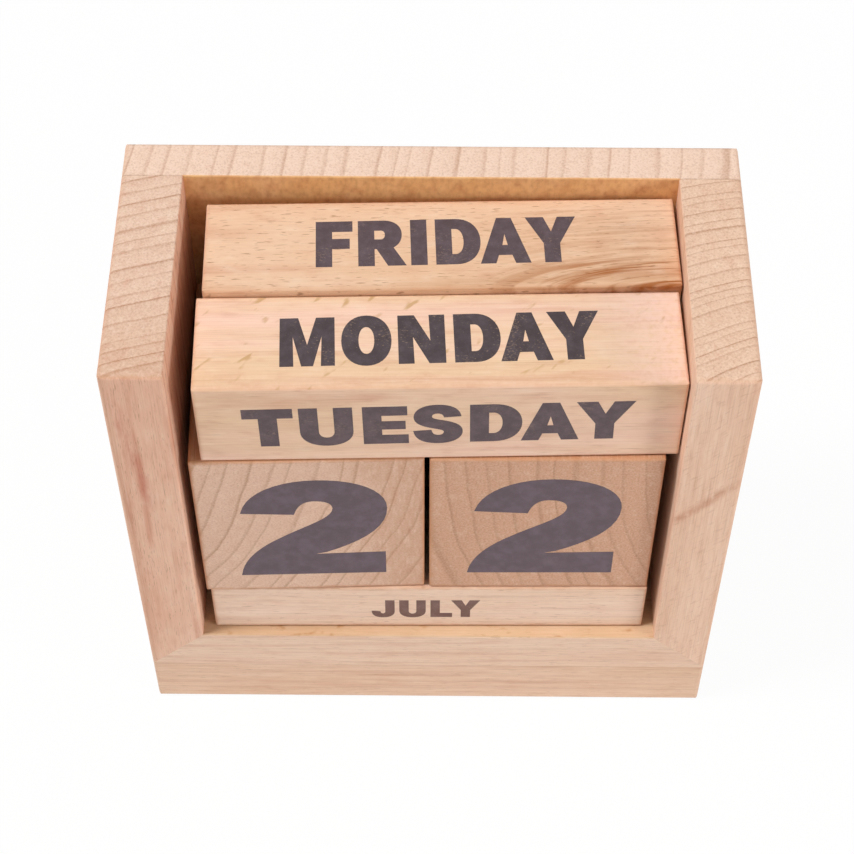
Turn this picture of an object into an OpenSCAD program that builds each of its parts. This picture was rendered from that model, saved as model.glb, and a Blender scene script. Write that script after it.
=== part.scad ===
// Perpetual desk calendar: a mitred beech frame on a base board, open at the front and the top,
// that holds loose month bars, date cubes and day bars.
// Sizes are in millimetres. +Z is up, the open front faces -Y, and the origin is the middle of
// the underside.

/* [Frame boards] */
// Thickness of the two sides and of the floor that is mitred between them
board_t = 13; // [9:0.5:20]
// Thickness of the back board
back_t = 9.6; // [7:0.1:15]
// Thickness of the base board under the frame
base_t = 15.4; // [10:0.1:25]
// Height of the frame's rim above the front day bar
rim_rise = 6.9; // [4:0.1:20]
// Radius of the frame's outer edges
outer_ease = 1.2; // [0.4:0.1:2.5]
// Radius of the edges round the open front and top
inner_ease = 0.5; // [0.2:0.1:1.5]

/* [Date cubes] */
// Edge length of a date cube
cube_s = 49.1; // [35:0.1:70]
// Turn of the left cube as it was set down
left_turn = 2; // [0:0.1:3]
// Turn of the right cube as it was set down
right_turn = 0.5; // [0:0.1:3]
// Distance from the frame's front to the left cube's nearest corner
left_set = 1.7; // [0.5:0.1:6]
// Distance from the frame's front to the right cube's nearest corner
right_set = 3.1; // [0.5:0.1:6]

/* [Day bars] */
// Length of the front day bar
day_len = 99; // [70:0.5:140]
// Length that the rear day bar falls short of the front one at its left end
rear_short = 0.6; // [0:0.1:3]
// Depth of both day bars, and height of the front one
day_s = 24.1; // [15:0.1:40]
// Height that the rear day bar stands above the front one
rear_rise = 1.6; // [0:0.1:4]
// Turn of the day bars as they were set down
day_turn = 1.5; // [0:0.1:2.5]
// Distance from the frame's front to the front day bar's nearest corner
day_set = 2.1; // [0.5:0.1:8]

/* [Month bars] */
// Length of a month bar
month_len = 98.6; // [70:0.1:140]
// Section of a month bar
month_s = 16.4; // [10:0.1:25]
// Turn of the month bars as they were set down
month_turn = 0.5; // [0:0.1:2]
// Distance from the frame's front to the front month bar's nearest corner
month_set = 2.4; // [0.5:0.1:6]

/* [Block edges and clearances] */
// Radius of the edges of cubes and bars
block_ease = 0.7; // [0.2:0.1:2]
// Clearance from a block's nearest corner to the side board that it lies against
side_play = 0.3; // [0.2:0.1:2]
// Free width left at the other end of the row of cubes
row_play = 2.8; // [0.5:0.1:6]
// Clearance between the nearest corners of the two cubes
cube_gap = 0.6; // [0.3:0.1:3]
// Clearance between neighbouring bars
bar_gap = 0.3; // [0.2:0.1:2]
// Clearance under each row of loose blocks
stack_play = 0.1; // [0.05:0.05:0.5]
// Clearance from the deepest block to the back board
back_play = 0.4; // [0.2:0.1:3]

/* [Dowels] */
// Diameter of the dowels hidden in the glued joints
dowel_d = 6; // [4:0.5:8]
// Length of the cone at each end of a dowel
dowel_cone = 0.8; // [0.3:0.1:1.5]
// Radial glue gap round a dowel
glue_gap = 0.05; // [0.02:0.01:0.2]
// Glue space between a dowel's end and the bottom of its hole
end_gap = 0.5; // [0.2:0.1:2]
// Wood left between a hole's bottom and the far face of its board
hole_cover = 3.3; // [2:0.1:5]
// Depth of the back dowels' holes in the edges of the sides and the floor
edge_bite = 14; // [8:0.5:25]
// Distance from the frame's outer faces to the base dowels
base_inset = 22; // [14:0.5:28]
// Distance from the floor and from the rim to the dowels between back and sides
back_inset = 20; // [10:0.5:30]
// Distance from the inner corners to the dowels between back and floor
floor_inset = 30; // [20:0.5:40]

/* [Hidden] */
$fn = 48;
overrun = 1;
month_count = 3;
beech = "#dcb799";
pale_beech = "#e6c8ad";
end_beech = "#c9a488";

// Width and depth that a turned block takes up
function turned_w(l, d, a) = l * cos(a) + d * sin(a);
function turned_d(l, d, a) = d * cos(a) + l * sin(a);

// Spacing, front to back, of bars that lie side by side at the same turn
function bar_step(d, a) = (d + bar_gap) / cos(a);

left_cube_w = turned_w(cube_s, cube_s, left_turn);
right_cube_w = turned_w(cube_s, cube_s, right_turn);
cubes_w = side_play + left_cube_w + cube_gap + right_cube_w + row_play;
days_w = turned_w(day_len, day_s, day_turn) + 2 * side_play;
months_w = turned_w(month_len, month_s, month_turn) + 2 * side_play;
inner_w = max(cubes_w, days_w, months_w);

day_step = bar_step(day_s, day_turn);
month_step = bar_step(month_s, month_turn);
days_d = day_set + day_step + turned_d(day_len, day_s, day_turn);
months_d = month_set + (month_count - 1) * month_step
    + turned_d(month_len, month_s, month_turn);
left_cube_d = left_set + turned_d(cube_s, cube_s, left_turn);
right_cube_d = right_set + turned_d(cube_s, cube_s, right_turn);
inner_d = max(days_d, months_d, left_cube_d, right_cube_d) + back_play;

// Heights of the floor and of each row, from the underside
floor_z = base_t + board_t;
month_z = floor_z + stack_play;
cube_z = month_z + month_s + stack_play;
day_z = cube_z + cube_s + stack_play;

body_w = inner_w + 2 * board_t;
body_d = inner_d + back_t;
body_h = day_z + day_s + rim_rise;
front_y = -body_d / 2;
back_y = front_y + inner_d;

// Places of the blocks: the middle of each front face's lower edge
left_cube_x = -inner_w / 2 + side_play + turned_w(cube_s / 2, cube_s, left_turn);
left_cube_y = front_y + left_set + cube_s / 2 * sin(left_turn);
right_cube_x = -inner_w / 2 + side_play + left_cube_w + cube_gap
    + turned_w(cube_s / 2, cube_s, right_turn);
right_cube_y = front_y + right_set + cube_s / 2 * sin(right_turn);
day_x = inner_w / 2 - side_play - day_len / 2 * cos(day_turn);
day_y = front_y + day_set + day_len / 2 * sin(day_turn);
rear_x = day_x + rear_short / 2 * cos(day_turn);
rear_y = day_y + day_step + rear_short / 2 * sin(day_turn);
month_x = month_s * sin(month_turn) / 2;
month_y = front_y + month_set + month_len / 2 * sin(month_turn);

// Depths of the dowels' holes, and places of the dowels
base_bite = base_t - hole_cover;
floor_bite = board_t - hole_cover;
back_bite = back_t - hole_cover;
base_dowel_x = body_w / 2 - base_inset;
base_dowel_y = body_d / 2 - base_inset;
side_dowel_x = (inner_w + board_t) / 2;
side_dowel_low = floor_z + back_inset;
side_dowel_high = body_h - back_inset;
floor_dowel_x = inner_w / 2 - floor_inset;
floor_dowel_z = base_t + board_t / 2;

// Rectangle with rounded corners, centred
module eased_outline(w, h, r) {
    square([w - 2 * r, h], center = true);
    square([w, h - 2 * r], center = true);
    for (sx = [-1, 1], sy = [-1, 1])
        translate([sx * (w / 2 - r), sy * (h / 2 - r)]) circle(r);
}

// Block with all twelve edges rounded, standing on Z = 0 with its front face at Y = 0
module eased_block(l, d, h, r) {
    translate([0, d / 2, h / 2])
        intersection() {
            linear_extrude(h + overrun, center = true) eased_outline(l, d, r);
            rotate([90, 0, 0]) linear_extrude(d + overrun, center = true) eased_outline(l, h, r);
            rotate([90, 0, 90]) linear_extrude(l + overrun, center = true) eased_outline(d, h, r);
        }
}

// Loose block, set down at a place with a turn
module placed_block(x, y, z, turn, l, d, h) {
    translate([x, y, z]) rotate(turn) eased_block(l, d, h, block_ease);
}

// Outside of the whole frame, which every board is sanded to
module frame_outside() {
    translate([0, front_y, 0]) eased_block(body_w, body_d, body_h, outer_ease);
}

// Waste that rounds an edge: the corner lies at the origin, the wood at -X and -Y
module edge_waste(l, r) {
    linear_extrude(l)
        difference() {
            translate([-r, -r]) square(r + overrun);
            translate([-r, -r]) circle(r);
        }
}

// Dowel with a cone at each end, from Z = 0 up
module dowel(l) {
    cone_r = dowel_d / 2 - dowel_cone / 2;
    cylinder(dowel_cone, cone_r, dowel_d / 2);
    translate([0, 0, dowel_cone]) cylinder(l - 2 * dowel_cone, d = dowel_d);
    translate([0, 0, l - dowel_cone]) cylinder(dowel_cone, dowel_d / 2, cone_r);
}

// Hole for a dowel, from the joint's face down
module dowel_hole(depth) {
    translate([0, 0, -depth]) cylinder(depth + overrun, d = dowel_d + 2 * glue_gap);
}

// Places of the dowels in each joint
module at_base_dowels() {
    for (sx = [-1, 1], sy = [-1, 1])
        translate([sx * base_dowel_x, sy * base_dowel_y, base_t]) children();
}

module at_side_dowels(side) {
    for (z = [side_dowel_low, side_dowel_high])
        translate([side * side_dowel_x, back_y, z]) rotate([-90, 0, 0]) children();
}

module at_floor_dowels() {
    for (sx = [-1, 1])
        translate([sx * floor_dowel_x, back_y, floor_dowel_z]) rotate([-90, 0, 0]) children();
}

// Dowel seated across a joint's face, with glue space at both ends
module seated_dowel(depth_below, depth_above) {
    translate([0, 0, end_gap - depth_below]) dowel(depth_below + depth_above - 2 * end_gap);
}

module base_board() {
    color(beech)
        difference() {
            intersection() {
                frame_outside();
                translate([-body_w, -body_d, -overrun]) cube([2 * body_w, 2 * body_d, base_t + overrun]);
            }
            at_base_dowels() dowel_hole(base_bite);
        }
}

// Board between the sides, with a mitre at each end
module floor_board() {
    color(beech)
        difference() {
            intersection() {
                frame_outside();
                translate([0, back_y, 0])
                    rotate([90, 0, 0])
                        linear_extrude(inner_d + overrun)
                            polygon([
                                [-body_w / 2, base_t], [body_w / 2, base_t],
                                [inner_w / 2, floor_z], [-inner_w / 2, floor_z]
                            ]);
            }
            translate([-body_w / 2, front_y, floor_z])
                rotate([90, 0, 90]) mirror([1, 0]) edge_waste(body_w, inner_ease);
            at_base_dowels() mirror([0, 0, 1]) dowel_hole(floor_bite);
            at_floor_dowels() dowel_hole(edge_bite);
        }
}

// Right side; the left one is its mirror image
module side_board() {
    difference() {
        intersection() {
            frame_outside();
            translate([0, back_y, 0])
                rotate([90, 0, 0])
                    linear_extrude(inner_d + overrun)
                        polygon([
                            [body_w / 2, base_t], [inner_w / 2, floor_z],
                            [inner_w / 2, body_h + overrun],
                            [body_w / 2 + overrun, body_h + overrun], [body_w / 2 + overrun, base_t]
                        ]);
        }
        translate([inner_w / 2, front_y, base_t])
            rotate(180) edge_waste(body_h, inner_ease);
        translate([inner_w / 2, back_y, body_h])
            rotate([90, 0, 0]) mirror([1, 0]) edge_waste(body_d, inner_ease);
        at_side_dowels(1) dowel_hole(edge_bite);
    }
}

module left_side() {
    color(pale_beech) mirror([1, 0, 0]) side_board();
}

module right_side() {
    color(pale_beech) side_board();
}

module back_board() {
    color(beech)
        difference() {
            intersection() {
                frame_outside();
                translate([-body_w, back_y, base_t]) cube([2 * body_w, body_d, body_h]);
            }
            translate([-inner_w / 2, back_y, body_h])
                rotate([90, 0, 90]) mirror([1, 0]) edge_waste(inner_w, inner_ease);
            at_side_dowels(-1) mirror([0, 0, 1]) dowel_hole(back_bite);
            at_side_dowels(1) mirror([0, 0, 1]) dowel_hole(back_bite);
            at_floor_dowels() mirror([0, 0, 1]) dowel_hole(back_bite);
        }
}

module base_dowels() {
    color(pale_beech) at_base_dowels() seated_dowel(base_bite, floor_bite);
}

module left_back_dowels() {
    color(pale_beech) at_side_dowels(-1) seated_dowel(edge_bite, back_bite);
}

module right_back_dowels() {
    color(pale_beech) at_side_dowels(1) seated_dowel(edge_bite, back_bite);
}

module floor_back_dowels() {
    color(pale_beech) at_floor_dowels() seated_dowel(edge_bite, back_bite);
}

// Month bar, counted from the front
module month_bar(row) {
    color(pale_beech)
        placed_block(month_x, month_y + row * month_step, month_z, month_turn,
            month_len, month_s, month_s);
}

module month_bar_front() {
    month_bar(0);
}

module month_bar_middle() {
    month_bar(1);
}

module month_bar_rear() {
    month_bar(month_count - 1);
}

module left_date_cube() {
    color(end_beech)
        placed_block(left_cube_x, left_cube_y, cube_z, left_turn, cube_s, cube_s, cube_s);
}

module right_date_cube() {
    color(end_beech)
        placed_block(right_cube_x, right_cube_y, cube_z, right_turn, cube_s, cube_s, cube_s);
}

module day_bar_front() {
    color(pale_beech) placed_block(day_x, day_y, day_z, day_turn, day_len, day_s, day_s);
}

module day_bar_rear() {
    color(beech)
        placed_block(rear_x, rear_y, day_z, day_turn, day_len - rear_short, day_s,
            day_s + rear_rise);
}

base_board();
floor_board();
left_side();
right_side();
back_board();
base_dowels();
left_back_dowels();
right_back_dowels();
floor_back_dowels();
month_bar_front();
month_bar_middle();
month_bar_rear();
left_date_cube();
right_date_cube();
day_bar_front();
day_bar_rear();
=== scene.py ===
"""Looks of a wooden desk calendar: beech grain, printed words and numbers, camera and light."""

import cmath
import logging
import math
from abc import ABC, abstractmethod
from dataclasses import dataclass, field, replace
from enum import Enum
from typing import Callable, Iterator, Mapping, Sequence

import bpy
from mathutils import Matrix, Vector


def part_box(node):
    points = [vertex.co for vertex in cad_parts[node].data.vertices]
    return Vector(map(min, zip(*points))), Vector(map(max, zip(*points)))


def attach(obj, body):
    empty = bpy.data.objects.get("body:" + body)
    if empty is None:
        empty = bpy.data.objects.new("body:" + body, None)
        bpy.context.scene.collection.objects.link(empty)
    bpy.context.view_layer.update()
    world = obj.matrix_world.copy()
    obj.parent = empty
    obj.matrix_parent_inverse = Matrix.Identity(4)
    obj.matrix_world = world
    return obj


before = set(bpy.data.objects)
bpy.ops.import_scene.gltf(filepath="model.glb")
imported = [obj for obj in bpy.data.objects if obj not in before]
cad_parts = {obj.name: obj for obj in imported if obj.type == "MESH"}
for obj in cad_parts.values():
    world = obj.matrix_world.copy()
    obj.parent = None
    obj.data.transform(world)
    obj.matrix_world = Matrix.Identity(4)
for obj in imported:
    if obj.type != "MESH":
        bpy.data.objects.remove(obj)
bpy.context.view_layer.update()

LOG = logging.getLogger("calendar")
MM = 0.001

Point = tuple[float, float]
Triple = tuple[float, float, float]
Rgba = tuple[float, float, float, float]
Contour = tuple[tuple[float, ...], ...]
Inputs = Mapping[int | str, object]

# Directions in the row frame, and no turn at all.
RIGHT: Triple = (1.0, 0.0, 0.0)
FRONT: Triple = (0.0, -1.0, 0.0)
BACK: Triple = (0.0, 1.0, 0.0)
UP: Triple = (0.0, 0.0, 1.0)
ZERO: Triple = (0.0, 0.0, 0.0)

# Surface of wood and ink alike.
BUMP_STRENGTH = 0.6
SPECULAR_LEVEL = 0.25

# Cosines between which a face comes to count as turned one way, and as end grain.
TURNED: Point = (0.3, 0.8)
SAWN: Point = (0.5, 0.85)


def tone(code: str) -> Rgba:
    """Turns a screen colour into the linear one that a shader takes.

    Args:
        code: Six hexadecimal digits, two each for red, green and blue.

    Returns:
        Linear red, green, blue and an alpha of 1.
    """
    shares = [int(code[i : i + 2], 16) / 255 for i in (0, 2, 4)]
    linear = [s / 12.92 if s <= 0.04045 else ((s + 0.055) / 1.055) ** 2.4 for s in shares]
    return (*linear, 1.0)


def added(name: str, data: bpy.types.ID) -> bpy.types.Object:
    """Adds an object to the scene.

    Args:
        name: Name of the object.
        data: Mesh, curve, lamp or camera that it shows.

    Returns:
        The object.
    """
    made = bpy.data.objects.new(name, data)
    bpy.context.scene.collection.objects.link(made)
    return made


def operator(operation: str, swapped: bool = False) -> "Callable[[Value, Value | float], Value]":
    """Makes a method of Value that joins it to a second number.

    Args:
        operation: What the Math node does.
        swapped: Whether the second number comes first.

    Returns:
        The method.
    """

    def joined(value: "Value", other: "Value | float") -> "Value":
        """Adds the node."""
        pair = (other, value) if swapped else (value, other)
        return value.graph.math(operation, *pair)

    return joined


@dataclass(frozen=True)
class Value:
    """Number, vector or colour on its way between the nodes of a shader, read from one socket."""

    graph: "Graph"
    socket: bpy.types.NodeSocket

    __add__ = operator("ADD")
    __radd__ = operator("ADD", swapped=True)
    __sub__ = operator("SUBTRACT")
    __rsub__ = operator("SUBTRACT", swapped=True)
    __mul__ = operator("MULTIPLY")
    __rmul__ = operator("MULTIPLY", swapped=True)
    __truediv__ = operator("DIVIDE")
    __rtruediv__ = operator("DIVIDE", swapped=True)
    __pow__ = operator("POWER")
    __rpow__ = operator("POWER", swapped=True)
    least = operator("MINIMUM")
    most = operator("MAXIMUM")

    def __abs__(self) -> "Value":
        """Size of a number, whatever its sign."""
        return self.graph.math("ABSOLUTE", self)

    def step(self, low: float, high: float) -> "Value":
        """Rises smoothly from 0 at low to 1 at high."""
        sockets = {"Value": self, "From Min": low, "From Max": high}
        return self.graph.node("MapRange", sockets, interpolation_type="SMOOTHSTEP")

    def part(self, axis: int) -> "Value":
        """One of a vector's three numbers."""
        return self.graph.node("SeparateXYZ", {0: self}, axis)

    def vector(self, operation: str, other: Triple, output: int | str = 0) -> "Value":
        """Joins two vectors by a Vector Math node, and reads one of its outputs."""
        return self.graph.node("VectorMath", {0: self, 1: other}, output, operation=operation)

    def scaled(self, scale: float) -> "Value":
        """Scales a vector evenly."""
        return self.vector("MULTIPLY", (scale, scale, scale))

    def per(self, size: Triple) -> "Value":
        """Measures a vector in units of three sizes."""
        return self.vector("MULTIPLY", tuple(1 / extent for extent in size))

    def reach(self, direction: Triple) -> "Value":
        """How far a vector reaches in a direction."""
        return self.vector("DOT_PRODUCT", direction, "Value")

    def mapped(self, origin: Triple, turn: Triple, unit: Triple) -> "Value":
        """Measures a point in other axes.

        Args:
            origin: Where the axes start.
            turn: Their turn about x, y and z, in degrees.
            unit: Length of one unit along each.

        Returns:
            The point as those axes give it.
        """
        angles = tuple(math.radians(angle) for angle in turn)
        sockets = {"Vector": self, "Location": origin, "Rotation": angles, "Scale": unit}
        return self.graph.node("Mapping", sockets, vector_type="TEXTURE")

    def noise(self, detail: float = 2.0, rough: float = 0.5) -> "Value":
        """Even noise about 0, mostly between -1 and 1, with one unit of a vector to a grain of it."""
        sockets = {"Vector": self, "Scale": 1.0, "Detail": detail, "Roughness": rough}
        return self.graph.node("TexNoise", sockets) * 4 - 2

    def mixed(self, code: str, share: "Value | float") -> "Value":
        """Mixes this colour with a share of a screen colour."""
        return self.graph.blend(self, tone(code), share)


class Graph:
    """Node tree of one material or of the world, written as expressions."""

    def __init__(self, owner: bpy.types.Material | bpy.types.World) -> None:
        """Empties the owner's node tree.

        Args:
            owner: Material or world to write.
        """
        owner.use_nodes = True
        self.tree = owner.node_tree
        self.tree.nodes.clear()

    def node(self, kind: str, sockets: Inputs, output: int | str = 0, **settings: object) -> Value:
        """Adds a shader node.

        Args:
            kind: The rest of Blender's type name.
            sockets: Value or link of each input that isn't left as it is.
            output: Output to return.
            settings: Attributes, set before the sockets.

        Returns:
            The chosen output.
        """
        made = self.tree.nodes.new(f"ShaderNode{kind}")
        for name, setting in settings.items():
            setattr(made, name, setting)
        for key, given in sockets.items():
            if isinstance(given, Value):
                self.tree.links.new(given.socket, made.inputs[key])
            else:
                made.inputs[key].default_value = given
        return Value(self, made.outputs[output] if made.outputs else made.inputs[0])

    def math(self, operation: str, *numbers: Value | float) -> Value:
        """Adds a Math node on one, two or three numbers."""
        return self.node("Math", dict(enumerate(numbers)), operation=operation)

    def blend(self, first: Value | Rgba, second: Rgba, share: Value | float) -> Value:
        """Mixes two colours, with a share of the second from 0 to 1."""
        sockets = {0: share, 6: first, 7: second}
        return self.node("Mix", sockets, 2, data_type="RGBA", clamp_factor=True)

    def shader(self, colour: Value, rough: Value, height: Value, depth: float) -> None:
        """Ends a material in a plain matt surface.

        Args:
            colour: Base colour.
            rough: Roughness.
            height: Relief, from about -1 to 1.
            depth: Height of a relief of 1, in metres.
        """
        relief = {"Strength": BUMP_STRENGTH, "Distance": depth, "Height": height}
        sockets = {
            "Base Color": colour,
            "Roughness": rough,
            "Specular IOR Level": SPECULAR_LEVEL,
            "Normal": self.node("Bump", relief),
        }
        surface = self.node("BsdfPrincipled", sockets)
        self.node("OutputMaterial", {"Surface": surface})


@dataclass(frozen=True)
class Seat:
    """Where a piece lies: its middle and half sizes in metres, and its turn in degrees."""

    middle: Triple
    half: Triple
    turn: float = 0.0

    @classmethod
    def of_node(cls, node: str, turn: float = 0.0) -> "Seat":
        """Reads a block's seat off its solid.

        Args:
            node: Name of the CAD node.
            turn: Turn about the upright, in degrees.

        Returns:
            The seat, with the block's own half sizes.
        """
        spin = Matrix.Rotation(math.radians(turn), 3, "Z")
        corners = [vertex.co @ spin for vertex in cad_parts[node].data.vertices]
        low = Vector(min(corner[axis] for corner in corners) for axis in range(3))
        high = Vector(max(corner[axis] for corner in corners) for axis in range(3))
        return cls(tuple(spin @ ((low + high) / 2)), tuple((high - low) / 2), turn)

    @property
    def matrix(self) -> Matrix:
        """Transform from the block's own axes to the row frame."""
        return Matrix.Translation(self.middle) @ Matrix.Rotation(math.radians(self.turn), 4, "Z")

    def millimetres(self, graph: Graph) -> Value:
        """Point on the piece in its own axes, in millimetres from its middle."""
        place = graph.node("TexCoord", {}, "Object")
        return place.mapped(self.middle, (0.0, 0.0, self.turn), (MM, MM, MM))


class Grain(Enum):
    """Axis that a piece's fibres follow, then the two axes across it."""

    X = (0, 1, 2)
    Y = (1, 0, 2)
    Z = (2, 0, 1)

    def size(self, across: float, along: float) -> Triple:
        """Size of a mark by axis, from its size across the fibres and along them."""
        return tuple(along if axis == self.value[0] else across for axis in range(3))


@dataclass(frozen=True)
class Mark(ABC):
    """Something that tints the wood in places."""

    tint: str
    share: float

    @staticmethod
    def shown(place: Value, facing: Triple) -> Value:
        """Gives 1 on the faces that look one way and 0 on the others."""
        return place.graph.node("TexCoord", {}, "Normal").reach(facing).step(*TURNED)

    @abstractmethod
    def spread(self, place: Value) -> Value:
        """Says where the mark lies.

        Args:
            place: Point in millimetres.

        Returns:
            Strength from 0 to 1.
        """


@dataclass(frozen=True)
class Seam(Mark):
    """Thin line of a glued joint, at a plane's direction and distance from the middle."""

    facing: Triple
    offset: float
    edge: Point = (0.02, 0.3)
    breaks: float = 0.2

    def spread(self, place: Value) -> Value:
        """Follows the joint, with breaks where the glue is flush.

        Args:
            place: Point in millimetres.

        Returns:
            Strength from 0 to 1.
        """
        away = abs(place.reach(self.facing) - self.offset)
        broken = place.scaled(self.breaks).noise(1.0).step(-1.2, 0.6)
        return (1 - away.step(*self.edge)) * broken


@dataclass(frozen=True)
class ShadeWash(Mark):
    """Painted shade: an even change of tone on the faces that look one way, in place of shade and warm
    bounce light.
    """

    facing: Triple
    cover: float = 0.9
    uneven: float = 0.12
    patches: float = 0.08

    def spread(self, place: Value) -> Value:
        """Covers the faces, a little unevenly."""
        cover = self.cover + place.scaled(self.patches).noise() * self.uneven
        return self.shown(place, self.facing) * cover


@dataclass(frozen=True)
class Flecks(Mark):
    """Scattered flecks of one size and slant, in millimetres and degrees, on faces of one kind."""

    size: Triple
    slant: Triple
    facing: Triple
    rare: float
    soft: float

    def spread(self, place: Value) -> Value:
        """Takes the peaks of a stretched noise, on faces that look the right way.

        Args:
            place: Point in millimetres.

        Returns:
            Strength from 0 to 1.
        """
        turned = place.mapped(ZERO, self.slant, self.size)
        spots = turned.noise().step(self.rare, self.rare + self.soft)
        return spots * self.shown(place, self.facing)


@dataclass(frozen=True)
class Vein(Mark):
    """One soft streak on one face: its plane, its run, and its ends along the run in millimetres."""

    facing: Triple
    offset: float
    run: Triple
    ends: Point
    width: float
    wander: float = 1.0
    face: Triple = FRONT
    fade: float = 0.3
    bends: float = 0.09
    breaks: Triple = (0.9, 0.9, 0.25)

    def spread(self, place: Value) -> Value:
        """Fades in and out along the streak, which wanders and breaks up.

        Args:
            place: Point in millimetres.

        Returns:
            Strength from 0 to 1.
        """
        along = place.reach(self.run)
        drift = place.scaled(self.bends).noise(3.0) * self.wander
        away = abs(place.reach(self.facing) - self.offset + drift)
        low, high = self.ends
        fade = self.fade * (high - low)
        ends = along.step(low, low + fade) * (1 - along.step(high - fade, high))
        broken = place.vector("MULTIPLY", self.breaks).noise().step(-1.4, 0.6)
        return (1 - away.step(0.0, self.width)) * ends * broken * self.shown(place, self.face)


@dataclass(frozen=True)
class Flame(Mark):
    """Curved streaks where rings run out of a bar's top, round a point beyond one corner.

    A streak has a size along the bar, outwards from the point and downwards. Each pair of limits says
    where the figure fades: along the bar, away from the point and up to the top.
    """

    middle: Point = (49.5, -15.0)
    flat: float = 3.6
    streak: Triple = (26.0, 1.2, 8.0)
    onset: Point = (-6.0, 34.0)
    close: Point = (7.0, 15.0)
    top: Point = (5.0, 9.5)
    far_share: float = 0.3

    def spread(self, place: Value) -> Value:
        """Draws flattened arcs, strongest near the corner.

        Args:
            place: Point in millimetres.

        Returns:
            Strength from 0 to 1.
        """
        along, across, height = (place.part(axis) for axis in range(3))
        out, up = (along - self.middle[0]) / self.flat, across - self.middle[1]
        reach = (out * out + up * up) ** 0.5
        run, gap, drop = self.streak
        point = place.graph.node("CombineXYZ", {0: along / run, 1: reach / gap, 2: height / drop})
        streaks = point.noise(3.0, 0.6).step(-0.3, 0.7)
        close = 1 - reach.step(*self.close)
        strength = self.far_share + close * (1 - self.far_share)
        return streaks * strength * along.step(*self.onset) * height.step(*self.top)


@dataclass(frozen=True)
class Scuffs(Mark):
    """Pale level saw and handling marks near a block's upper edge."""

    seed: float
    size: Triple = (9.0, 1.0, 0.8)
    height: Point = (6.0, 20.0)

    def spread(self, place: Value) -> Value:
        """Draws level scratches that thin out downwards."""
        marks = place.per(self.size).vector("ADD", (self.seed, 0.0, 0.0)).noise(1.0)
        return marks.step(0.3, 1.0) * place.part(2).step(*self.height)


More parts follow.
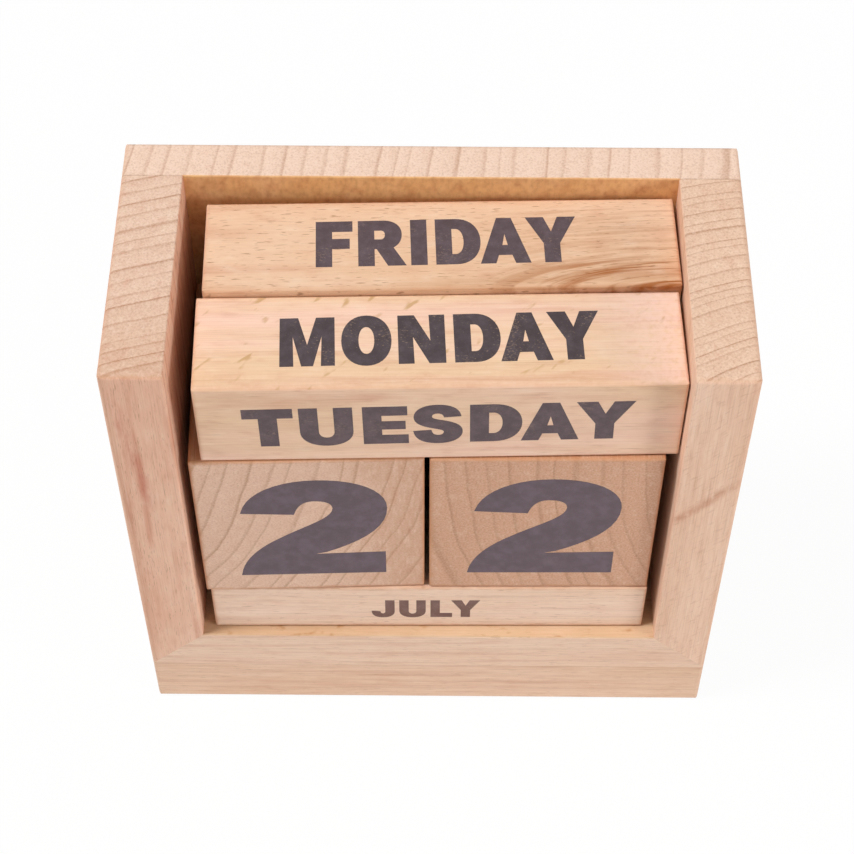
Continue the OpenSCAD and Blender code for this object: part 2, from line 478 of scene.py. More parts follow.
@dataclass(frozen=True)
class Beech:
    """Bare sanded beech, cut from a log whose pith lies beside the piece.

    Sizes are in millimetres: across the fibres and along them, or outwards from the pith, round it
    and along it. A spell of wide or narrow rings lasts some years, and the late wood spans a share
    of each year.
    """

    grain: Grain
    pith: Point
    pitch: float = 3.6
    pale: str = "f3cdb1"
    deep: str = "e8ba9b"
    end: str = "efcdb4"
    late: str = "b07a58"
    blush: str = "cf9072"
    ring: float = 0.5
    end_ring: float = 0.6
    streak: float = 0.3
    fibre: float = 0.06
    dash: float = 0.3
    sway: float = 1.2
    mottle: float = 0.16
    # Share of the edge tint: edge wear, and also painted shade in the creases where blocks meet.
    wear_and_shade: float = 0.2
    marks: tuple[Mark, ...] = ()
    seed: float = 0.0
    glow: str = "ffe8cf"
    dark_fibre: str = "6e452c"
    light_fibre: str = "fff1e6"
    dash_tint: str = "8a5832"
    wear_and_shade_tint: str = "cc9066"
    fibre_size: Point = (0.26, 14.0)
    slow_size: Point = (24.0, 130.0)
    quick_size: Point = (3.6, 45.0)
    broad_size: Triple = (8.0, 26.0, 100.0)
    streak_size: Triple = (1.7, 5.0, 48.0)
    cloud_size: Triple = (1.8, 2.4, 6.0)
    dash_size: Triple = (4.5, 0.24, 2.6)
    pores: float = 2.2
    spell: float = 2.3
    uneven: float = 1.4
    late_span: Point = (0.72, 0.9)
    faintest: float = 0.4
    nicks: float = 0.35
    ragged: float = 0.35
    wear_and_shade_span: Point = (0.15, 1.3)
    rough: float = 0.62
    relief: float = 0.06 * MM

    def material(self, name: str, seat: Seat) -> bpy.types.Material:
        """Makes the wood of one piece.

        Args:
            name: Name of the material.
            seat: Seat of the piece, from whose middle the pith is measured.

        Returns:
            The material.
        """
        made = bpy.data.materials.new(name)
        graph = Graph(made)
        place = seat.millimetres(graph)
        outward = graph.node("TexCoord", {}, "Normal")
        sawn = abs(outward.part(self.grain.value[0])).step(*SAWN)
        log = self.log_point(place)
        line = self.ring_lines(log)
        colour = self.ground(log, sawn)
        colour = colour.mixed(self.late, line * (self.ring + sawn * (self.end_ring - self.ring)))
        fibre = self.stretched(place, self.fibre_size).noise(3.0, 0.6)
        pores = place.scaled(self.pores).noise(2.0, 0.7)
        fine = fibre + sawn * (pores * 1.3 - fibre)
        colour = colour.mixed(self.dark_fibre, (fine * self.fibre).most(0.0))
        colour = colour.mixed(self.light_fibre, (fine * -self.fibre).most(0.0))
        dash = self.dashes(log) * (1 - sawn * 0.85)
        colour = colour.mixed(self.dash_tint, dash)
        for mark in self.marks:
            colour = colour.mixed(mark.tint, mark.spread(place) * mark.share)
        # Edge tint: real wear, and also painted shade along the creases where blocks sit against each other.
        rubbed = self.edges(place, seat)
        colour = colour.mixed(self.wear_and_shade_tint, rubbed * self.wear_and_shade)
        rough = self.rough + fine * 0.05 + line * 0.06 - rubbed * 0.12
        graph.shader(colour, rough, fine * 0.35 - dash * 0.5 - line * 0.25, self.relief)
        return made

    def stretched(self, place: Value, size: Point) -> Value:
        """Point for a noise drawn out along the fibres, shifted by the piece's own seed."""
        shift = (self.seed, self.seed * 0.37, self.seed * 0.61)
        return place.per(self.grain.size(*size)).vector("ADD", shift)

    def log_point(self, place: Value) -> Value:
        """Measures the log at a point.

        Args:
            place: Point in millimetres.

        Returns:
            Distance from the pith, distance round it and distance along it, in millimetres.
        """
        along, first, second = (place.part(axis) for axis in self.grain.value)
        across, up = first - self.pith[0], second - self.pith[1]
        slow = self.stretched(place, self.slow_size).noise(1.0)
        quick = self.stretched(place, self.quick_size).noise(4.0, 0.6)
        depth = (across * across + up * up) ** 0.5 + slow * self.sway + quick * (self.sway * 0.14)
        side = place.graph.math("ARCTAN2", up, across) * math.hypot(*self.pith)
        return place.graph.node("CombineXYZ", {0: depth, 1: side, 2: along})

    def log_noise(self, log: Value, size: Triple, detail: float = 2.0) -> Value:
        """Noise that follows the rings, with marks of one size."""
        return log.per(size).vector("ADD", (self.seed, 0.0, self.seed * 0.7)).noise(detail)

    def ring_lines(self, log: Value) -> Value:
        """Dark late wood at the end of each year's growth.

        Args:
            log: Point in the log.

        Returns:
            Strength from 0 to 1.
        """
        graph, depth = log.graph, log.part(0)
        spot = {"W": depth / (self.pitch * self.spell) + self.seed, "Scale": 1.0, "Detail": 1.0}
        years = depth / self.pitch + graph.node("TexNoise", spot, noise_dimensions="1D") * self.uneven
        share, year = graph.math("FRACT", years), graph.math("FLOOR", years)
        strength = graph.node("TexWhiteNoise", {"W": year}, noise_dimensions="1D")
        start, full = self.late_span
        close = 1 - share.step(full, 1.0)
        rise = share.step(start, full) * 0.8 + share.step(0.1, full) * 0.2
        return rise * close * (self.faintest + strength * (1 - self.faintest))

    def ground(self, log: Value, sawn: Value) -> Value:
        """Wood between the ring lines, with broad tones and narrow warm streaks.

        Args:
            log: Point in the log.
            sawn: 1 on end grain and 0 along the fibres.

        Returns:
            The colour.
        """
        broad = self.log_noise(log, self.broad_size).step(-0.9, 0.9)
        colour = log.graph.blend(tone(self.pale), tone(self.deep), broad)
        narrow = self.log_noise(log, self.streak_size)
        colour = colour.mixed(self.blush, narrow.step(0.0, 0.9) * self.streak * (1 - sawn * 0.7))
        colour = colour.mixed(self.end, sawn * 0.85)
        cloud = self.log_noise(log, self.cloud_size, 3.0)
        colour = colour.mixed(self.blush, cloud.step(0.0, 1.2) * self.mottle)
        return colour.mixed(self.glow, (cloud * -1.0).step(0.0, 1.2) * self.mottle)

    def dashes(self, log: Value) -> Value:
        """Rays, which show as short dark dashes on a flat-sawn face."""
        return self.log_noise(log, self.dash_size, 1.0).step(0.5, 0.95) * self.dash

    def edges(self, place: Value, seat: Seat) -> Value:
        """Finger wear along the edges of the piece's box, which is also painted shade where those edges meet
        other blocks in creases.

        Args:
            place: Point in millimetres.
            seat: Seat of the piece.

        Returns:
            Strength from 0 to 1.
        """
        room = [half / MM - abs(place.part(axis)) for axis, half in enumerate(seat.half)]
        near = room[0].least(room[1]).most(room[0].most(room[1]).least(room[2]))
        ragged = place.scaled(self.nicks).noise() * self.ragged
        return 1 - (near + ragged).step(*self.wear_and_shade_span)


@dataclass(frozen=True)
class Ink:
    """Printed ink, rubbed thin so that the wood shows through in specks."""

    name: str
    solid: str
    thin: str
    bare: str = "dcb999"
    worn: float = 0.25
    grain: Grain = Grain.X
    clouds: float = 0.4
    patches: float = 0.16
    speck_size: Point = (0.4, 0.6)
    rubbed: Point = (0.35, 1.3)
    rough: float = 0.55
    relief: float = 0.03 * MM

    def material(self) -> bpy.types.Material:
        """Makes the ink, or gives the one that is already made."""
        return bpy.data.materials.get(self.name) or self.mix()

    def mix(self) -> bpy.types.Material:
        """Makes the ink.

        Returns:
            The material.
        """
        made = bpy.data.materials.new(self.name)
        graph = Graph(made)
        place = graph.node("TexCoord", {}, "Object").vector("DIVIDE", (MM, MM, MM))
        cloud = place.scaled(self.clouds).noise(3.0, 0.6)
        colour = graph.blend(tone(self.solid), tone(self.thin), cloud.step(-0.7, 1.0))
        speck = place.per(self.grain.size(*self.speck_size)).noise(2.0, 0.7)
        patch = place.scaled(self.patches).noise(1.0)
        open_wood = (speck + patch * 0.5).step(*self.rubbed) * self.worn
        graph.shader(colour.mixed(self.bare, open_wood), self.rough + speck * 0.08, speck * 0.4, self.relief)
        return made


# Pull of an arc towards its corner, points to a curve, units to the height of a capital, and the
# least divisor at a swollen corner, which keeps a sharp one short.
ARC = 0.6
CURVE_STEPS = 10
CAPITAL = 100.0
SHARPEST = 0.5


def oval(left: float, low: float, right: float, high: float) -> Contour:
    """Draws a closed oval with slightly square shoulders.

    Args:
        left: Left side of the box that it fills.
        low: Bottom of the box.
        right: Right side of the box.
        high: Top of the box.

    Returns:
        The contour.
    """
    x, y = (left + right) / 2, (low + high) / 2
    quarters = ((right, low, right, y), (right, high, x, high), (left, high, left, y), (left, low, x, low))
    return ((x, low), *quarters)


@dataclass(frozen=True)
class Glyph:
    """Letter or number, in hundredths of the height of a capital.

    A contour starts at a point. Two numbers more draw a straight line, four a quarter arc by way
    of its corner, and six a curve by way of two handles.
    """

    before: float
    after: float
    contours: tuple[Contour, ...]

    def outlines(self) -> Iterator[list[Point]]:
        """Follows each contour.

        Yields:
            Its points.
        """
        for contour in self.contours:
            points = [contour[0]]
            for leg in contour[1:]:
                points.extend(self.leg_points(points[-1], leg))
            yield points[:-1] if points[-1] == points[0] else points

    @staticmethod
    def leg_points(start: Point, leg: tuple[float, ...]) -> list[Point]:
        """Follows one leg of a contour.

        Args:
            start: Where the leg starts.
            leg: Its two, four or six numbers.

        Returns:
            Points after the start, up to the leg's end.
        """
        if len(leg) == 2:
            return [leg]
        end = leg[-2:]
        if len(leg) == 4:
            corner = leg[:2]
            first = tuple(s + ARC * (c - s) for s, c in zip(start, corner))
            second = tuple(e + ARC * (c - e) for e, c in zip(end, corner))
        else:
            first, second = leg[:2], leg[2:4]
        made = []
        for i in range(1, CURVE_STEPS + 1):
            t = i / CURVE_STEPS
            shares = ((1 - t) ** 3, 3 * t * (1 - t) ** 2, 3 * t * t * (1 - t), t**3)
            corners = (start, first, second, end)
            made.append(tuple(sum(w * p[k] for w, p in zip(shares, corners)) for k in (0, 1)))
        return made


GLYPHS: dict[str, Glyph] = {
    "A": Glyph(-1, -1, (
        ((0, 0), (29.5, 100), (52.5, 100), (82, 0), (59, 0), (53.5, 18.5), (28.5, 18.5), (23, 0)),
        ((34.5, 38), (47.5, 38), (41, 66)),
    )),
    "B": Glyph(8.75, 5, (
        ((0, 0), (44, 0), (74, 0, 74, 28), (74, 49, 60, 53), (70, 58, 70, 74), (70, 100, 42, 100),
         (0, 100)),
        ((25, 62), (38, 62), (46, 62, 46, 71.5), (46, 81, 38, 81), (25, 81)),
        ((25, 19), (40, 19), (49, 19, 49, 30.5), (49, 42, 40, 42), (25, 42)),
    )),
    "C": Glyph(5, 3, (
        ((76, 36), (72, 12, 58, -2, 40, -2), (0, -2, 0, 50), (0, 102, 40, 102),
         (58, 102, 71, 90, 75.5, 67), (52, 62), (50, 74, 46, 80, 40, 80), (26, 80, 26, 50),
         (26, 20, 40, 20), (47, 20, 51, 27, 52.5, 40)),
    )),
    "D": Glyph(8.75, 3, (
        ((0, 0), (34, 0), (74, 0, 74, 50), (74, 100, 34, 100), (0, 100)),
        ((25, 20), (33, 20), (48, 20, 48, 50), (48, 80, 33, 80), (25, 80)),
    )),
    "E": Glyph(8.75, 5, (
        ((0, 0), (64, 0), (64, 22), (25, 22), (25, 40), (60, 40), (60, 60), (25, 60), (25, 78), (63, 78),
         (63, 100), (0, 100)),
    )),
    "F": Glyph(8.75, 3.5, (
        ((0, 0), (25, 0), (25, 40), (55, 40), (55, 60), (25, 60), (25, 79), (60, 79), (60, 100), (0, 100)),
    )),
    "G": Glyph(5, 7, (
        ((80, 54), (80, 10), (70, 2, 56, -2, 42, -2), (0, -2, 0, 50), (0, 102, 42, 102),
         (62, 102, 74, 92, 78, 72), (54, 67), (52, 76, 49, 80, 42, 80), (26, 80, 26, 50), (26, 19, 44, 19),
         (50, 19, 54, 21, 57, 23), (57, 35), (43, 35), (43, 54)),
    )),
    "H": Glyph(8.75, 8.75, (
        ((0, 0), (25, 0), (25, 39), (51, 39), (51, 0), (76, 0), (76, 100), (51, 100), (51, 61), (25, 61),
         (25, 100), (0, 100)),
    )),
    "I": Glyph(8.75, 8.75, (((0, 0), (25, 0), (25, 100), (0, 100)),)),
    "J": Glyph(2, 8.5, (
        ((66, 100), (41, 100), (41, 34), (41, 19, 32, 19), (24, 19, 23.5, 33), (0, 36),
         (0, 10, 12, -2, 33, -2), (66, -2, 66, 34)),
    )),
    "L": Glyph(8.75, 1.5, (((0, 0), (62, 0), (62, 22), (25, 22), (25, 100), (0, 100)),)),
    "M": Glyph(8.75, 8.75, (
        ((0, 0), (20, 0), (20, 62), (35.5, 0), (52.5, 0), (68, 62), (68, 0), (88, 0), (88, 100), (60, 100),
         (44, 42), (28, 100), (0, 100)),
    )),
    "N": Glyph(8.75, 8.75, (
        ((0, 0), (23, 0), (23, 56), (50, 0), (75, 0), (75, 100), (52, 100), (52, 45), (25, 100), (0, 100)),
    )),
    "O": Glyph(5, 5, (oval(0, -2, 80, 102), oval(25.5, 20, 54.5, 80))),
    "P": Glyph(8.75, 2, (
        ((0, 0), (25, 0), (25, 34), (40, 34), (68, 34, 68, 67), (68, 100, 40, 100), (0, 100)),
        ((25, 54), (36, 54), (44, 54, 44, 67), (44, 80, 36, 80), (25, 80)),
    )),
    "R": Glyph(8.75, 2, (
        ((0, 0), (25, 0), (25, 38), (31, 38), (50, 0), (78, 0), (57, 40), (67, 46, 72, 56, 72, 70),
         (72, 100, 42, 100), (0, 100)),
        ((25, 57), (38, 57), (46, 57, 46, 69), (46, 80, 38, 80), (25, 80)),
    )),
    "S": Glyph(5, 5, (
        ((0, 31), (2, 8, 15, -2, 36, -2), (70, -2, 70, 30), (70, 48, 56, 55, 40, 60),
         (29, 63.5, 25, 66, 25, 71.5), (25, 77, 29, 81, 34.5, 81), (41, 81, 44, 77, 45.5, 70), (68, 72),
         (66, 92, 54, 102, 34.5, 102), (1, 102, 1, 70), (1, 52, 14, 45, 30, 39.5),
         (40, 36, 45, 34, 45, 28.5), (45, 22, 41, 18.5, 36, 18.5), (28, 18.5, 25, 24, 24, 33)),
    )),
    "T": Glyph(3, 3, (
        ((23.5, 0), (48.5, 0), (48.5, 77), (72, 77), (72, 100), (0, 100), (0, 77), (23.5, 77)),
    )),
    "U": Glyph(8.5, 8.5, (
        ((0, 100), (0, 36), (0, -2, 38, -2), (76, -2, 76, 36), (76, 100), (51, 100), (51, 36),
         (51, 18, 38, 18), (25, 18, 25, 36), (25, 100)),
    )),
    "V": Glyph(-1, -1, (((0, 100), (27, 100), (40, 42), (53, 100), (80, 100), (52, 0), (28, 0)),)),
    "W": Glyph(-1, -1, (
        ((0, 100), (25, 100), (33, 42), (45, 100), (69, 100), (81, 42), (89, 100), (114, 100), (94, 0),
         (69, 0), (57, 56), (45, 0), (20, 0)),
    )),
    "Y": Glyph(-1.2, -1, (
        ((0, 100), (28, 100), (41, 66), (54, 100), (82, 100), (53.5, 42), (53.5, 0), (28.5, 0), (28.5, 42)),
    )),
    "0": Glyph(0, 0, (oval(0, 0, 90, 100), oval(31, 19, 59, 81))),
    "1": Glyph(0, 0, (
        ((24, 0), (56, 0), (56, 100), (30, 100), (27, 84, 16, 76, 0, 74), (0, 53),
         (10, 54, 18, 58, 24, 63)),
    )),
    "2": Glyph(0, 0, (
        ((0, 0), (89, 0), (89, 21), (45, 21), (72, 33, 90.5, 48, 90.5, 71), (90.5, 100, 49, 100),
         (10, 100, 3.5, 69), (33.5, 67), (36, 77, 41, 81, 47.5, 81), (55, 81, 60, 77.5, 60, 71.5),
         (60, 60, 42, 52, 26.5, 39.5), (11, 28, 2, 15, 0, 0)),
    )),
    "3": Glyph(0, 0, (
        ((0, 29), (3, 8, 20, 0, 45, 0), (90, 0, 90, 29), (90, 42, 82, 50, 72, 53),
         (81, 56, 87, 63, 87, 73), (87, 100, 45, 100), (21, 100, 6, 92, 3, 73), (33, 70),
         (34, 78, 38, 82, 45, 82), (53, 82, 57, 78, 57, 72), (57, 65, 52, 61, 40, 61), (33, 61), (33, 43),
         (41, 43), (53, 43, 59, 39, 59, 30), (59, 22, 54, 18, 46, 18), (37, 18, 32, 23, 31, 32)),
    )),
    "4": Glyph(0, 0, (
        ((50, 0), (80, 0), (80, 20), (92, 20), (92, 41), (80, 41), (80, 100), (47, 100), (0, 43), (0, 20),
         (50, 20)),
        ((50, 41), (50, 72), (26, 41)),
    )),
    "5": Glyph(0, 0, (
        ((3, 30), (5, 9, 20, 0, 44, 0), (90, 0, 90, 33), (90, 54, 75, 66, 54, 66),
         (46, 66, 41, 65, 36, 62), (38.5, 79), (84, 79), (84, 100), (15.5, 100), (5.5, 44), (32, 41),
         (34.5, 46, 38.5, 48, 44, 48), (54, 48, 59, 42, 59, 33), (59, 23, 54, 18, 45, 18),
         (38, 18, 34, 23, 33, 32)),
    )),
    "6": Glyph(0, 0, (
        ((86, 75), (82, 92, 68, 100, 48, 100), (0, 100, 0, 48), (0, 0, 46, 0), (90, 0, 90, 33),
         (90, 53, 76, 65, 56, 65), (45, 65, 36, 61, 31, 55), (31, 72, 37, 82, 48, 82),
         (54, 82, 57, 78, 58, 72)),
        oval(32, 17, 59, 48),
    )),
    "7": Glyph(0, 0, (
        ((0, 100), (88, 100), (88, 82), (70, 62, 60, 36, 57, 0), (23, 0), (26, 32, 36, 58, 54, 78),
         (0, 78)),
    )),
    "8": Glyph(0, 0, (
        ((45, 0), (90, 0, 90, 28), (90, 41, 83, 49, 72, 53), (81, 57, 86, 64, 86, 74), (86, 100, 45, 100),
         (4, 100, 4, 74), (4, 64, 9, 57, 18, 53), (7, 49, 0, 41, 0, 28), (0, 0, 45, 0)),
        oval(31.5, 64, 58.5, 83),
        oval(29.5, 17, 60.5, 42),
    )),
}


class Face(Enum):
    """Face of a block: the directions to the right and up as its print is read."""

    FRONT = ((1, 0, 0), (0, 0, 1))
    TOP = ((1, 0, 0), (0, 1, 0))
    BACK = ((1, 0, 0), (0, 0, -1))
    BOTTOM = ((1, 0, 0), (0, -1, 0))
    LEFT = ((0, -1, 0), (0, 0, 1))
    RIGHT = ((0, 1, 0), (0, 0, 1))
    REAR = ((-1, 0, 0), (0, 0, 1))

    def matrix(self, seat: Seat) -> Matrix:
        """Transform from a print's flat drawing to the block's face.

        Args:
            seat: Seat of the block.

        Returns:
            The transform to the row frame.
        """
        right, up = (Vector(direction) for direction in self.value)
        out = right.cross(up)
        reach = sum(abs(o) * h for o, h in zip(out, seat.half))
        axes = Matrix((right, up, out)).transposed().to_4x4()
        return seat.matrix @ Matrix.Translation(out * reach) @ axes


def swollen(points: Sequence[Point], swell: float) -> list[Point]:
    """Moves a closed contour outwards.

    Args:
        points: Its corners, in either sense.
        swell: Distance to move, negative for a hole.

    Returns:
        The moved corners.
    """
    corners = [Vector(point) for point in points]
    legs = [corner - corners[i - 1] for i, corner in enumerate(corners)]
    sides = [Vector((leg.y, -leg.x)).normalized() for leg in legs]
    area = sum(x * v - u * y for (u, v), (x, y) in zip(points, [points[-1], *points[:-1]]))
    moved = []
    for i, corner in enumerate(corners):
        first, second = sides[i], sides[(i + 1) % len(sides)]
        reach = math.copysign(swell, area * swell) / max(SHARPEST, 1 + first.dot(second))
        moved.append(tuple(corner + reach * (first + second)))
    return moved


@dataclass(frozen=True)
class Print:
    """Word or number on a face, in millimetres and degrees, its strokes swollen in glyph units."""

    text: str
    ink: Ink
    wide: float
    tall: float
    shift: Point = (0.0, 0.0)
    tilt: float = 0.0
    swell: float = 1.5

    def outlines(self) -> list[list[Point]]:
        """Sets the glyphs in a row.

        Returns:
            Contours in metres about the middle of the face.
        """
        rows, cursor = [], 0.0
        for letter in self.text:
            glyph = GLYPHS[letter]
            start = cursor + (glyph.before if rows else 0.0)
            for i, points in enumerate(glyph.outlines()):
                inked = swollen(points, -self.swell if i else self.swell)
                rows.append([(x + start, y) for x, y in inked])
            cursor = max(x for points in rows for x, _ in points) + glyph.after - self.swell
        spots = [x for points in rows for x, _ in points]
        left, right = min(spots), max(spots)
        across, up = self.wide / (right - left), self.tall / (CAPITAL + 2 * self.swell)
        middle = (left + right) / 2
        spin = cmath.rect(1.0, math.radians(self.tilt))
        placed = []
        for points in rows:
            flat = (complex((x - middle) * across, (y - CAPITAL / 2) * up) for x, y in points)
            turned = [(spot * spin + complex(*self.shift)) * MM for spot in flat]
            placed.append([(spot.real, spot.imag) for spot in turned])
        return placed

    def mesh(self, name: str, film: float) -> bpy.types.Mesh:
        """Fills the outlines as a thin film of ink.

        Args:
            name: Name of the mesh.
            film: Height of the film above the face, in metres.

        Returns:
            The mesh, flat about its own origin.
        """
        curve = bpy.data.curves.new(name, "CURVE")
        curve.dimensions = "2D"
        curve.fill_mode = "BOTH"
        curve.extrude = film
        for points in self.outlines():
            spline = curve.splines.new("POLY")
            spline.points.add(len(points) - 1)
            for knot, (x, y) in zip(spline.points, points):
                knot.co = (x, y, 0.0, 1.0)
            spline.use_cyclic_u = True
        pattern = added(name, curve)
        filled = pattern.evaluated_get(bpy.context.evaluated_depsgraph_get())
        made = bpy.data.meshes.new_from_object(filled)
        bpy.data.objects.remove(pattern)
        bpy.data.curves.remove(curve)
        return made


@dataclass
class Block:
    """Loose block of wood with prints on its faces."""

    node: str
    turn: float
    wood: Beech
    prints: dict[Face, Print]
    film: float = 0.02 * MM
    seat: Seat = field(init=False)

    def build(self) -> None:
        """Reads the block's place and makes its prints."""
        self.seat = Seat.of_node(self.node, self.turn)
        for face, words in self.prints.items():
            name = f"{self.node}_{face.name.lower()}_{words.text.lower()}"
            mesh = words.mesh(name, self.film)
            mesh.transform(face.matrix(self.seat))
            coat(mesh, words.ink.material())
            piece = added(name, mesh)
            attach(piece, self.node)
            LOG.info("print %s", name)

    def dress(self) -> None:
        """Gives the solid its wood."""
        dress_node(self.node, self.wood, self.seat)


def coat(mesh: bpy.types.Mesh, material: bpy.types.Material) -> None:
    """Replaces a mesh's materials by one."""
    mesh.materials.clear()
    mesh.materials.append(material)


def dress_node(node: str, wood: Beech, seat: Seat) -> None:
    """Gives a CAD node its own wood.

    Args:
        node: Name of the node.
        wood: Its finish.
        seat: Where the piece that the wood is cut for lies.
    """
    coat(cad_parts[node].data, wood.material(f"{node}_beech", seat))
    LOG.info("wood %s", node)


@dataclass
class DayBars:
    """Two bars with the seven days; the last face of the rear one is bare."""

    turn: float = 1.5
    tall: float = 12.5

    def blocks(self) -> list[Block]:
        """Gives both bars their wood, ink and words.

        Returns:
            The front bar, then the rear one.
        """
        front = Beech(
            Grain.X, (-150.0, 24.0), pitch=4.0, pale="fbd1bb", deep="f0cba6", end="f0cdb3", ring=0.14,
            streak=0.3, fibre=0.14, dash=0.0, sway=1.6, mottle=0.3, seed=3.1,
            marks=(
                Flecks("c49a62", 0.7, (6.0, 2.4, 6.0), (0.0, 0.0, 42.0), UP, 0.46, 0.5),
                Flecks("8f5f3c", 0.45, (6.0, 3.0, 0.36), (0.0, 1.5, 0.0), FRONT, 0.35, 0.9),
                Vein("dca674", 0.2, BACK, -12.0, RIGHT, (-90.0, 90.0), 8.0, face=UP),
                Vein("ffdcd0", 0.55, RIGHT, 46.0, BACK, (-90.0, 90.0), 18.0, face=UP),
            ),
        )
        rear = Beech(
            Grain.X, (6.0, -70.0), pitch=5.0, pale="f3cfb0", deep="eabd98", late="b98252", ring=0.3,
            streak=0.35, fibre=0.1, dash=0.55, sway=1.4, mottle=0.32, seed=8.4,
            marks=(Flame("a8622a", 1.0),),
        )
        dark = Ink("rear_day_ink", "544549", "63545a", worn=0.2)
        worn = Ink("front_day_ink", "453a3d", "554a4e", worn=0.28)
        lit = Ink("lit_day_ink", "5e4e52", "6d5c60", worn=0.18)
        return [
            Block("day_bar_front", self.turn, front, {
                Face.TOP: Print("MONDAY", worn, 64.7, self.tall, (0.2, 0.3), 0.9),
                Face.FRONT: Print("TUESDAY", lit, 79.4, self.tall, (-0.3, -0.2), 0.9),
                Face.BOTTOM: Print("WEDNESDAY", lit, 84.0, self.tall),
                Face.BACK: Print("THURSDAY", lit, 80.0, self.tall),
            }),
            Block("day_bar_rear", self.turn, rear, {
                Face.TOP: Print("FRIDAY", dark, 54.3, self.tall, (1.1, 0.45), 0.7),
                Face.FRONT: Print("SATURDAY", lit, 78.0, self.tall),
                Face.BOTTOM: Print("SUNDAY", lit, 62.0, self.tall),
            }),
        ]


@dataclass
class DateCubes:
    """Two cubes that show every date from 01 to 31."""

    left_turn: float = 2.0
    right_turn: float = 0.5
    wide: float = 32.7
    tall: float = 36.0
    shift: Point = (0.2, -0.5)
    narrow: float = 0.62

    def numbers(self, text: str) -> dict[Face, Print]:
        """Puts six numbers on a cube.

        Args:
            text: Numbers of the front, top, right, bottom, left and rear.

        Returns:
            The prints.
        """
        ink = Ink("cube_ink", "65555c", "71616a", worn=0.05, grain=Grain.Y)
        order = (Face.FRONT, Face.TOP, Face.RIGHT, Face.BOTTOM, Face.LEFT, Face.REAR)
        widths = (self.wide * (self.narrow if digit == "1" else 1.0) for digit in text)
        return {
            face: Print(digit, ink, wide, self.tall, self.shift)
            for face, digit, wide in zip(order, text, widths)
        }

    def blocks(self) -> list[Block]:
        """Gives both cubes their wood and numbers.

        Returns:
            The left cube, then the right one.
        """
        # The cubes' strong edge tint is partly wear and partly painted shade under the day bar and along the
        # bar beneath.
        left = Beech(
            Grain.Y, (-120.0, 45.0), pitch=4.4, pale="cb9c79", deep="bb8964", end="efc8b0", late="b0805f",
            end_ring=0.66, streak=0.15, fibre=0.19, dash=0.1, sway=1.0, mottle=0.22, wear_and_shade=0.6, seed=12.7,
            marks=(Vein("bd8058", 0.42, RIGHT, 24.0, UP, (-50.0, 50.0), 22.0, 6.0),),
        )
        right = replace(
            left, pith=(140.0, 28.0), pitch=4.6, pale="c89672", deep="b8845f", end="dcab8d", late="a57552",
            end_ring=0.5, streak=0.2, wear_and_shade=0.55, seed=17.3, marks=(Scuffs("eac6ab", 0.22, 17.3),),
        )
        return [
            Block("left_date_cube", self.left_turn, left, self.numbers("201345")),
            Block("right_date_cube", self.right_turn, right, self.numbers("201678")),
        ]


@dataclass
class MonthBars:
    """Three bars with the twelve months."""

    turn: float = 0.5
    tall: float = 7.2
    letter: float = 6.2
    shift: Point = (-0.7, -0.6)

    def words(self, *months: str) -> dict[Face, Print]:
        """Puts four months round a bar.

        Args:
            months: Words of the front, top, back and bottom.

        Returns:
            The prints.
        """
        ink = Ink("month_ink", "785850", "866860", worn=0.2)
        order = (Face.FRONT, Face.TOP, Face.BACK, Face.BOTTOM)
        return {
            face: Print(month, ink, self.letter * len(month), self.tall, self.shift)
            for face, month in zip(order, months)
        }

    def blocks(self) -> list[Block]:
        """Gives the three bars their wood and words.

        Returns:
            The bars from front to rear.
        """
        front = Beech(
            Grain.X, (90.0, 60.0), pitch=3.4, pale="fcdcc5", deep="f4cfb4", ring=0.14, streak=0.25,
            fibre=0.2, dash=0.3, mottle=0.2, wear_and_shade=0.4, seed=21.9,
        )
        middle = replace(front, pith=(60.0, -80.0), seed=25.2)
        rear = replace(front, pith=(-70.0, 50.0), seed=29.6)
        shown = self.words("JULY", "JUNE", "MAY", "AUGUST")
        early = self.words("JANUARY", "FEBRUARY", "MARCH", "APRIL")
        late = self.words("SEPTEMBER", "OCTOBER", "NOVEMBER", "DECEMBER")
        return [
            Block("month_bar_front", self.turn, front, shown),
            Block("month_bar_middle", self.turn, middle, early),
            Block("month_bar_rear", self.turn, rear, late),
        ]


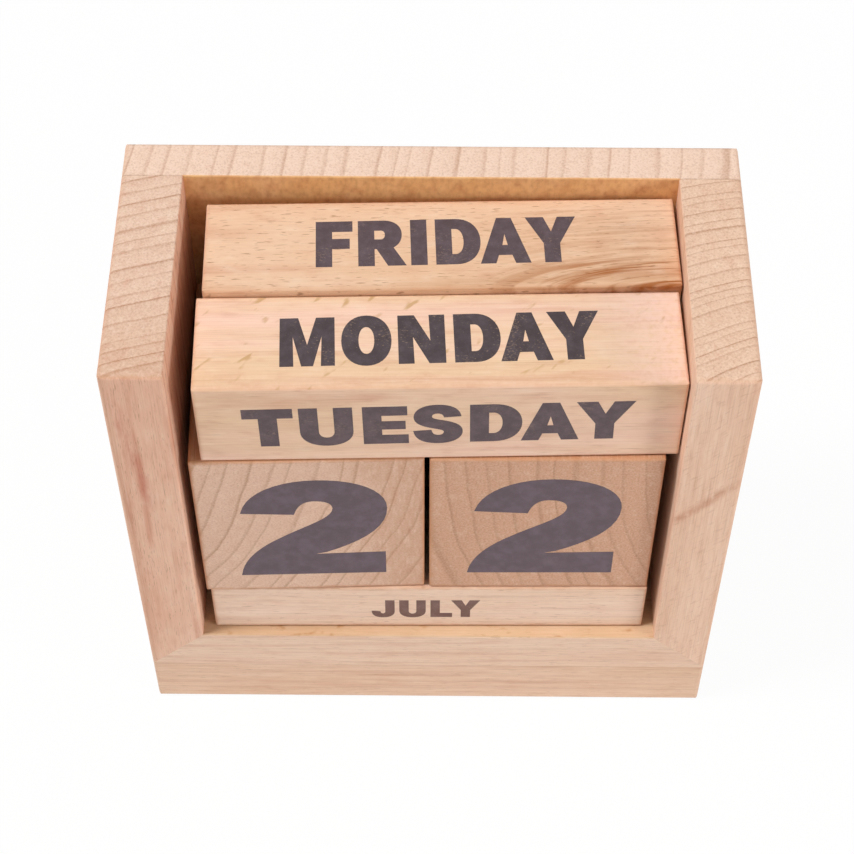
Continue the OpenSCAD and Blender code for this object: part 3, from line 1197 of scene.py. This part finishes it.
@dataclass
class FrameBoards:
    """Five glued boards and the dowels inside their joints."""

    glue: str = "8a5a3c"
    seat: Seat = field(init=False)
    base_top: float = field(init=False)
    back_front: float = field(init=False)

    def build(self) -> None:
        """Reads the frame's outside and its joints off its boards."""
        low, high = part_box("base_board")
        back_low, back_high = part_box("back_board")
        half = ((high.x - low.x) / 2, (high.y - low.y) / 2, back_high.z / 2)
        self.seat = Seat((0.0, (low.y + high.y) / 2, half[2]), half)
        self.base_top = (high.z - half[2]) / MM
        self.back_front = (back_low.y - self.seat.middle[1]) / MM

    def seams(self) -> dict[str, Seam]:
        """Finds the planes of the glued joints.

        Returns:
            The joints by name.
        """
        slant = math.sqrt(0.5)
        mitre = slant * (self.seat.half[0] / MM - self.base_top)
        return {
            "base": Seam(self.glue, 0.12, UP, self.base_top),
            "back": Seam(self.glue, 0.4, BACK, self.back_front),
            "left": Seam(self.glue, 0.22, (-slant, 0.0, -slant), mitre),
            "right": Seam(self.glue, 0.22, (slant, 0.0, -slant), mitre),
        }

    def woods(self) -> dict[str, Beech]:
        """Chooses each board's wood, with the joints and marks that show on it.

        Returns:
            The woods by node.
        """
        seams = self.seams()
        upright = Beech(
            Grain.Z, (5.0, -215.0), pitch=3.4, ring=0.3, end_ring=0.75, fibre=0.2, sway=0.7, dash=0.34,
            mottle=0.26,
        )
        level = Beech(
            Grain.X, (-110.0, -120.0), pitch=3.2, pale="f7d7be", deep="efc8ae", ring=0.1, streak=0.3,
            fibre=0.21, dash=0.26, mottle=0.24, seed=6.6,
        )
        left = replace(
            upright, pale="f5c7ac", deep="eab497", end="e9c8b1", blush="cb7f60", streak=0.6, seed=1.3,
            marks=(
                seams["left"], seams["back"],
                Vein("c0604a", 0.4, (0.995, 0, 0.0995), -56.6, (0.0995, 0, -0.995), (-68.0, -16.0), 2.2),
                Vein("fbdac2", 0.6, UP, -66.0, RIGHT, (-110.0, 0.0), 48.0, 6.0),
                Vein("c08a60", 0.32, BACK, -32.0, RIGHT, (-160.0, 60.0), 24.0, 3.0, UP),
            ),
        )
        right = replace(
            upright, pith=(77.0, -69.0), pitch=2.6, pale="f9d3b9", deep="f0c6aa", end="e9c5aa",
            ring=0.06, streak=0.12, dash=0.12, seed=4.5,
            marks=(
                seams["right"], seams["back"],
                Vein("b5622f", 0.42, (0.793, 0, -0.61), 33.2, (-0.61, 0, -0.793), (-68.0, -36.0), 2.0),
                Flecks("a86c42", 0.26, (2.8, 4.0, 0.55), (0.0, -45.0, 0.0), FRONT, 0.1, 1.1),
            ),
        )
        back = replace(
            upright, pith=(-260.0, 60.0), pitch=4.6, pale="f7d2b6", deep="efc4a5", end="f4d5c0",
            ring=0.14, end_ring=0.5, streak=0.2, dash=0.12, mottle=0.12, seed=9.8,
            marks=(
                seams["back"], seams["base"],
                # Painted shade: a golden wash on the inner face, standing in for the warm bounce light in
                # the shaded recess behind the bars.
                ShadeWash("fac584", 0.9, FRONT),
                Flecks("b5532a", 0.45, (2.8, 1.0, 3.6), ZERO, FRONT, -0.5, 2.0),
                Flecks("a04a24", 0.3, (1.1, 1.0, 1.7), ZERO, FRONT, -0.5, 1.8),
            ),
        )
        floor = replace(
            level,
            marks=(
                *seams.values(),
                # Painted shade: a darker orange wash on the top face, standing in for the shade and warm
                # bounce light in front of the stacked blocks.
                ShadeWash("cba87c", 0.7, UP),
                Flecks("b0702f", 0.6, (4.0, 2.0, 1.0), ZERO, UP, 0.35, 0.8),
            ),
        )
        base = replace(level, pale="f3d0b6", deep="eac2a3", seed=14.4, marks=(seams["base"],))
        return {
            "left_side": left, "right_side": right, "back_board": back, "floor_board": floor,
            "base_board": base,
        }

    def dress(self) -> None:
        """Gives every board and dowel its wood."""
        rod = Beech(Grain.Y, (40.0, 30.0), pitch=2.4, ring=0.3, wear_and_shade=0.0, seed=31.0)
        woods = self.woods()
        woods["base_dowels"] = replace(rod, grain=Grain.Z)
        for board in ("left", "right", "floor"):
            woods[f"{board}_back_dowels"] = rod
        for node, wood in woods.items():
            dress_node(node, wood, self.seat)


@dataclass(frozen=True)
class Lamp:
    """Round lamp that looks at the object: its place and width in metres and its power in watts."""

    name: str
    place: Triple
    width: float
    power: float

    def hang(self) -> None:
        """Adds the lamp to the scene."""
        lamp = bpy.data.lights.new(self.name, "AREA")
        lamp.shape = "DISK"
        lamp.size = self.width
        lamp.energy = self.power
        hung = added(self.name, lamp)
        hung.location = self.place
        hung.rotation_mode = "QUATERNION"
        hung.rotation_quaternion = (-Vector(self.place)).to_track_quat("-Z", "Y")


@dataclass
class Studio:
    """Pale floor, soft light and the camera."""

    image: int = 854
    focal: float = 2127.887
    sensor: float = 36.0
    nearest: float = 0.01
    place: Triple = (1.165 * MM, -285.775 * MM, 451.731 * MM)
    elevation: float = 53.39
    yaw: float = -0.358
    roll: float = 0.124
    ambient: float = 0.295
    key: Lamp = Lamp("key", (-1.35, -0.3, 3.15), 0.75, 79.0)
    fill: Lamp = Lamp("fill", (1.0, -0.55, 0.4), 0.3, 4.5)
    floor_half: float = 4.0
    floor_white: float = 0.96
    room_tint: str = "fffdfa"
    floor_tint: str = "f3f3f3"
    white: str = "ffffff"

    def build(self) -> None:
        """Sets up everything round the object."""
        bpy.context.scene.view_settings.view_transform = "Standard"
        self.build_camera()
        self.build_light()
        self.build_floor()

    def build_camera(self) -> None:
        """Puts the camera at the photograph's angle."""
        lens = bpy.data.cameras.new("camera")
        lens.sensor_width = self.sensor
        lens.lens = self.focal / self.image * self.sensor
        lens.clip_start = self.nearest
        camera = added("camera", lens)
        turn = Matrix.Rotation(math.radians(-self.yaw), 4, "Z")
        tip = Matrix.Rotation(math.radians(90.0 - self.elevation), 4, "X")
        lean = Matrix.Rotation(math.radians(self.roll), 4, "Z")
        camera.matrix_world = Matrix.Translation(self.place) @ turn @ tip @ lean
        bpy.context.scene.camera = camera

    def build_light(self) -> None:
        """Hangs a lamp high on the left and a weaker one low on the right, in an evenly lit room."""
        self.key.hang()
        self.fill.hang()
        world = bpy.data.worlds.new("room")
        bpy.context.scene.world = world
        graph = Graph(world)
        dim = {"Color": tone(self.room_tint), "Strength": self.ambient}
        room = graph.node("Background", dim)
        white = graph.node("Background", {"Color": tone(self.white), "Strength": 1.0})
        sky = graph.node("MixShader", {0: self.seen(graph), 1: room, 2: white})
        graph.node("OutputWorld", {"Surface": sky})

    @staticmethod
    def seen(graph: Graph) -> Value:
        """Tells rays that show the background from those that light the object.

        Args:
            graph: Shader to add to.

        Returns:
            1 for a ray from the camera, or one that is mirrored or let through, and else 0.
        """
        rays = ("Is Camera Ray", "Is Glossy Ray", "Is Transmission Ray")
        camera, glossy, through = (graph.node("LightPath", {}, ray) for ray in rays)
        return camera.most(glossy).most(through)

    def build_floor(self) -> None:
        """Lays a pale floor that keeps a light shadow."""
        s = self.floor_half
        mesh = bpy.data.meshes.new("floor")
        mesh.from_pydata([(-s, -s, 0), (s, -s, 0), (s, s, 0), (-s, s, 0)], [], [(0, 1, 2, 3)])
        paint = bpy.data.materials.new("floor_paint")
        graph = Graph(paint)
        matt = graph.node("BsdfDiffuse", {"Color": tone(self.floor_tint)})
        white = graph.node("Emission", {"Color": tone(self.white), "Strength": 1.0})
        share = self.seen(graph) * self.floor_white
        surface = graph.node("MixShader", {0: share, 1: matt, 2: white})
        graph.node("OutputMaterial", {"Surface": surface})
        mesh.materials.append(paint)
        floor = added("floor", mesh)


def main() -> None:
    """Builds and dresses the calendar, then the studio round it."""
    logging.basicConfig(level=logging.INFO, format="%(message)s")
    boards = FrameBoards()
    boards.build()
    boards.dress()
    for row in (MonthBars(), DateCubes(), DayBars()):
        for block in row.blocks():
            block.build()
            block.dress()
    Studio().build()


if __name__ == "__main__":
    main()
